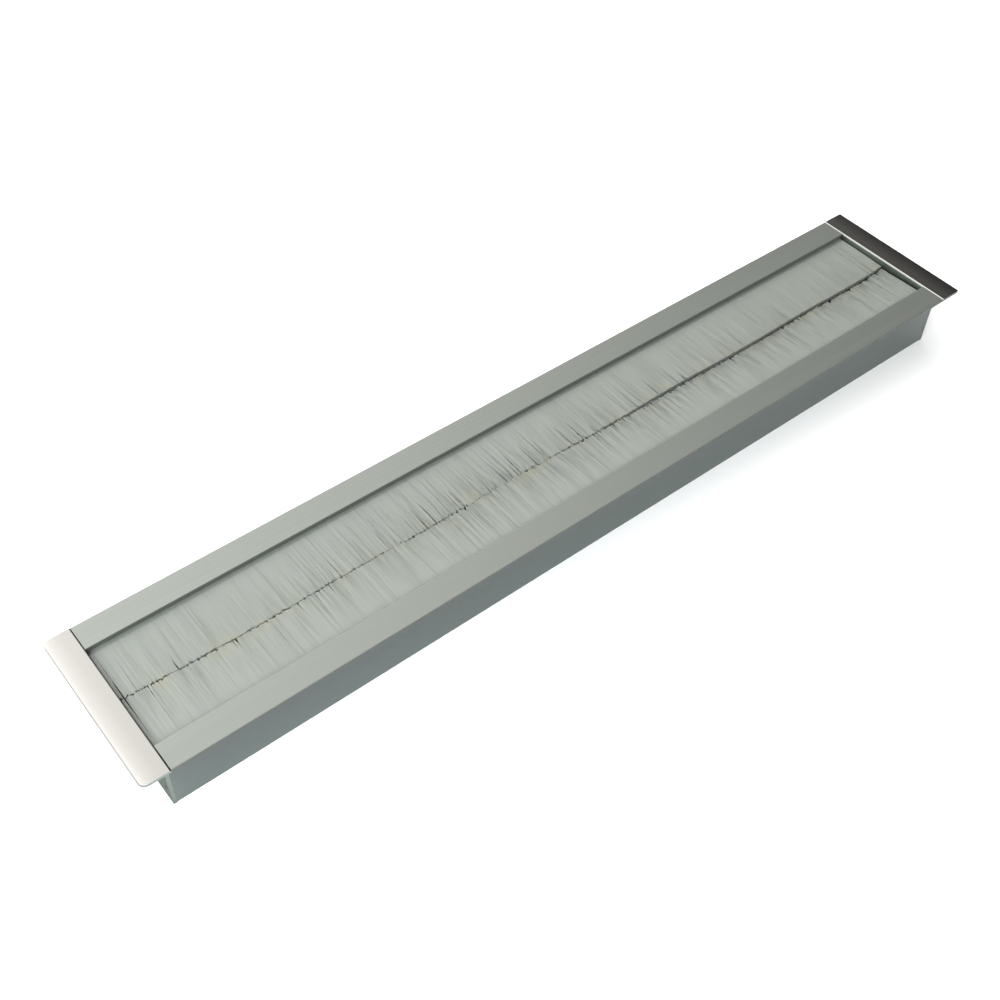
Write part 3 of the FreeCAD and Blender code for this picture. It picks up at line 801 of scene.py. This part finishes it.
class GROMMET_OT_studio(bpy.types.Operator):
    """Set up the floor, the lights and the camera"""
    bl_idname = "grommet.studio"
    bl_label = "Studio"

    def execute(self, context):
        studio = context.scene.grommet_studio
        self.add_floor(studio)
        self.light_room(context.scene, studio)
        self.aim_camera(context.scene, studio)
        return {"FINISHED"}

    def add_floor(self, studio):
        """Board of 12 by 12 metres, a hair below the object."""
        reach = 6.0
        corners = [(-reach, -reach, 0), (reach, -reach, 0), (reach, reach, 0),
                   (-reach, reach, 0)]
        mesh = bpy.data.meshes.new("floor")
        mesh.from_pydata(corners, [], [(0, 1, 2, 3)])
        mesh.materials.append(painted_board(studio))
        floor = bpy.data.objects.new("floor", mesh)
        floor.location.z = -0.02 * MM
        bpy.context.scene.collection.objects.link(floor)

    def light_room(self, scene, studio):
        """Light tent: bright at the left and behind, dim in front, dark at the right.

        Two dim panels hang in it. The right cap mirrors the first, and the left cap
        mirrors the second.
        """
        world = bpy.data.worlds.new("studio_room")
        scene.world = world
        world.use_nodes = True
        tree = world.node_tree
        tree.nodes.clear()
        direction = add_node(tree, "ShaderNodeTexCoord").outputs["Generated"]
        axes = add_node(tree, "ShaderNodeSeparateXYZ", {"Vector": direction})
        left = add_node(tree, "ShaderNodeMapRange", {
            "Value": axes.outputs["X"], "From Min": 0.0, "From Max": 0.9,
            "To Min": 3.0, "To Max": 0.03})
        behind = add_node(tree, "ShaderNodeMapRange", {
            "Value": axes.outputs["Y"], "From Min": -0.2, "From Max": 0.6,
            "To Min": 0.25, "To Max": 1.1})
        tent = add_node(tree, "ShaderNodeMath", {
            0: left.outputs["Result"], 1: behind.outputs["Result"]}, operation="MULTIPLY")
        light = tent.outputs["Value"]
        panels = (((0.72, 0.40, 0.57), 0.985, 0.95, 0.22),
                  ((0.13, 0.57, 0.81), 0.988, 0.96, 0.5))
        for middle, inner_edge, outer_edge, level in panels:
            nearness = add_node(tree, "ShaderNodeVectorMath", {0: direction, 1: middle},
                                operation="DOT_PRODUCT")
            dim = add_node(tree, "ShaderNodeMapRange", {
                "Value": nearness.outputs["Value"], "From Min": outer_edge,
                "From Max": inner_edge, "To Min": 1.0, "To Max": level})
            shaded = add_node(tree, "ShaderNodeMath", {0: light, 1: dim.outputs["Result"]},
                              operation="MULTIPLY")
            light = shaded.outputs["Value"]
        room = add_node(tree, "ShaderNodeBackground", {
            "Color": (1, 0.985, 0.965, 1), "Strength": light})
        add_node(tree, "ShaderNodeOutputWorld", {"Surface": room.outputs["Background"]})

        add_soft_box("front_box", place=(-0.6, -0.45, 0.5), aim=(-0.1, 0, 0), size=0.5,
                     power=studio.front_power, colour=(0.93, 0.98, 1))
        add_soft_box("back_box", place=(-0.2, 0.4, 0.8), aim=(-0.05, 0, 0.03), size=0.2,
                     power=studio.back_power, colour=(1, 0.99, 0.97))

    def aim_camera(self, scene, studio):
        """Camera of the reference view; the target is the point that it looks at."""
        target = Vector((-43.144, -9.98, 31.0)) * MM
        flat = math.cos(studio.elevation)
        back = Vector((math.sin(studio.azimuth) * flat, -math.cos(studio.azimuth) * flat,
                       math.sin(studio.elevation)))
        lens = bpy.data.cameras.new("camera")
        lens.lens = studio.lens
        lens.clip_start = 0.01
        camera = bpy.data.objects.new("camera", lens)
        camera.location = target + back * studio.distance
        camera.rotation_mode = "QUATERNION"
        straight = (-back).to_track_quat("-Z", "Y")
        camera.rotation_quaternion = straight @ Quaternion((0, 0, 1), studio.roll)
        scene.collection.objects.link(camera)
        scene.camera = camera
        scene.view_settings.view_transform = "Standard"


class GROMMET_PT_panel(bpy.types.Panel):
    """Lists the pieces of the grommet"""
    bl_idname = "GROMMET_PT_panel"
    bl_label = "Brush Cable Grommet"
    bl_space_type = "VIEW_3D"
    bl_region_type = "UI"
    bl_category = "Grommet"

    def draw(self, context):
        for operator in OPERATORS:
            self.layout.operator(operator.bl_idname)


GROUPS = {"grommet_finish": GrommetFinish, "grommet_row": GrommetRow,
          "grommet_studio": GrommetStudio}
OPERATORS = (GROMMET_OT_rails, GROMMET_OT_end_caps, GROMMET_OT_strip_holders,
             GROMMET_OT_screws, GROMMET_OT_bristles, GROMMET_OT_studio)


def register():
    for group in GROUPS.values():
        bpy.utils.register_class(group)
    for operator in OPERATORS:
        bpy.utils.register_class(operator)
    bpy.utils.register_class(GROMMET_PT_panel)
    for name, group in GROUPS.items():
        setattr(bpy.types.Scene, name, PointerProperty(type=group))


def unregister():
    for name in GROUPS:
        delattr(bpy.types.Scene, name)
    bpy.utils.unregister_class(GROMMET_PT_panel)
    for operator in reversed(OPERATORS):
        bpy.utils.unregister_class(operator)
    for group in reversed(list(GROUPS.values())):
        bpy.utils.unregister_class(group)


def main():
    register()
    bpy.ops.grommet.rails()
    bpy.ops.grommet.end_caps()
    bpy.ops.grommet.strip_holders()
    bpy.ops.grommet.screws()
    bpy.ops.grommet.bristles()
    bpy.ops.grommet.studio()


if __name__ == "__main__":
    main()
